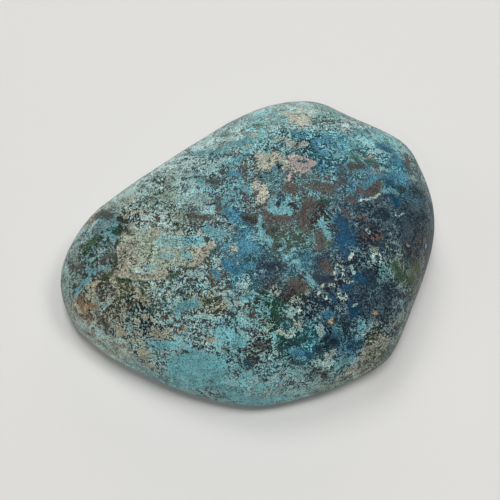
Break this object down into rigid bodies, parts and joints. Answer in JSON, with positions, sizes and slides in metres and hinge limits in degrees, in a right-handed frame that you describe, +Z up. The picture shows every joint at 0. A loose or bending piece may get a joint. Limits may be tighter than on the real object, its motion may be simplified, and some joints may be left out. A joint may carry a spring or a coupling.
{
  "type": "polished shattuckite stone",
  "caption": "Palm-sized polished freeform stone with a domed top, rounded sides and a small flat underneath, in mottled turquoise, navy, brown and tan.",
  "frame": {"origin": "middle of the stone's box in plan, at the level of the flat that it rests on", "axes": "+Z up out of the domed top, +X along the longest extent towards the broad end, +Y towards the back, so the blunt tip points along -X"},
  "size_m": [0.1002, 0.0848, 0.0341],
  "materials": {
    "shattuckite": "polished"
  },
  "bodies": {
    "root": {"shattuckite_stone": "shattuckite"}
  },
  "joints": []
}
